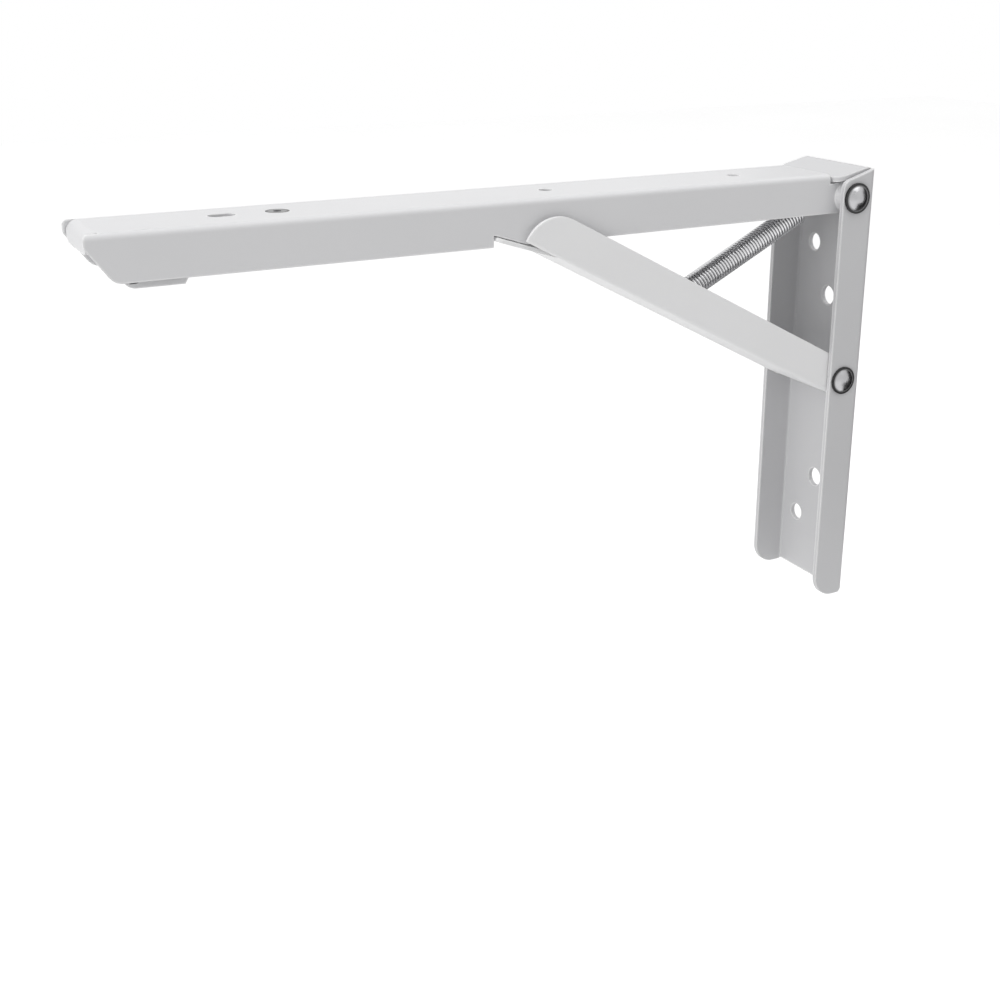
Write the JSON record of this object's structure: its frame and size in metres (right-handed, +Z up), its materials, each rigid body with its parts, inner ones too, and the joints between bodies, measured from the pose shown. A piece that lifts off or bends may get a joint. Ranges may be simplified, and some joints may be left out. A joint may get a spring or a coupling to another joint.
{
  "type": "folding shelf bracket",
  "caption": "Folding steel shelf bracket with a channelled wall plate, a level arm, a locking brace, a tension spring and a finger release.",
  "frame": {"origin": "middle of the plate's back, on the wall plane, level with the top of the arm", "axes": "+Y into the wall, -Y along the open arm, +Z up, +X along the wall; metres"},
  "size_m": [0.051, 0.307, 0.1843],
  "materials": {
    "white_paint": "satin light grey-white powder coat",
    "bright_steel": "bright plated",
    "spring_steel": "drawn wire",
    "plain_steel": "plated"
  },
  "bodies": {
    "plate": {"wall_plate": "white_paint", "hinge_pin": "bright_steel", "brace_rivet_near": "bright_steel", "brace_rivet_far": "bright_steel"},
    "arm_body": {"arm": "white_paint", "fulcrum_bracket": "plain_steel", "fulcrum_rivet": "plain_steel", "release_pin": "plain_steel", "release_spring": "spring_steel"},
    "brace_body": {"brace": "white_paint"},
    "bar_body": {"release_bar": "white_paint"},
    "spring_body": {"spring": "spring_steel"},
    "hook_body": {"spring_hook": "spring_steel"}
  },
  "joints": [
    {"name": "arm_fold", "type": "hinge", "parent": "plate", "child": "arm_body", "pos_m": [0, -0.0095, -0.009], "axis": [1, 0, 0], "range_deg": [0, 88.5], "stiffness_Nm_per_rad": 1, "springref_deg": -51.57},
    {"name": "brace_fold", "type": "hinge", "parent": "plate", "child": "brace_body", "pos_m": [0, -0.0095, -0.084], "axis": [1, 0, 0], "range_deg": [0, 117.11]},
    {"name": "spring_swing", "type": "hinge", "parent": "plate", "child": "spring_body", "pos_m": [0, -0.0095, -0.009], "axis": [1, 0, 0], "range_deg": [0, 61.7]},
    {"name": "spring_stretch", "type": "slide", "parent": "spring_body", "child": "hook_body", "axis": [0, -0.8818, -0.4716], "range_m": [0, 0.0748], "deforming": ["spring"]},
    {"name": "release_press", "type": "hinge", "parent": "arm_body", "child": "bar_body", "pos_m": [0, -0.24, -0.0058], "axis": [-1, 0, 0], "range_deg": [0, 3.2], "stiffness_Nm_per_rad": 2, "springref_deg": -5.73, "deforming": ["release_spring"]}
  ],
  "couplings": [
    {"joint": "brace_fold", "follows": "arm_fold", "ratio": 1.3232},
    {"joint": "spring_swing", "follows": "arm_fold", "ratio": 0.69596},
    {"joint": "spring_stretch", "follows": "arm_fold", "m_per_rad": 0.048311}
  ]
}
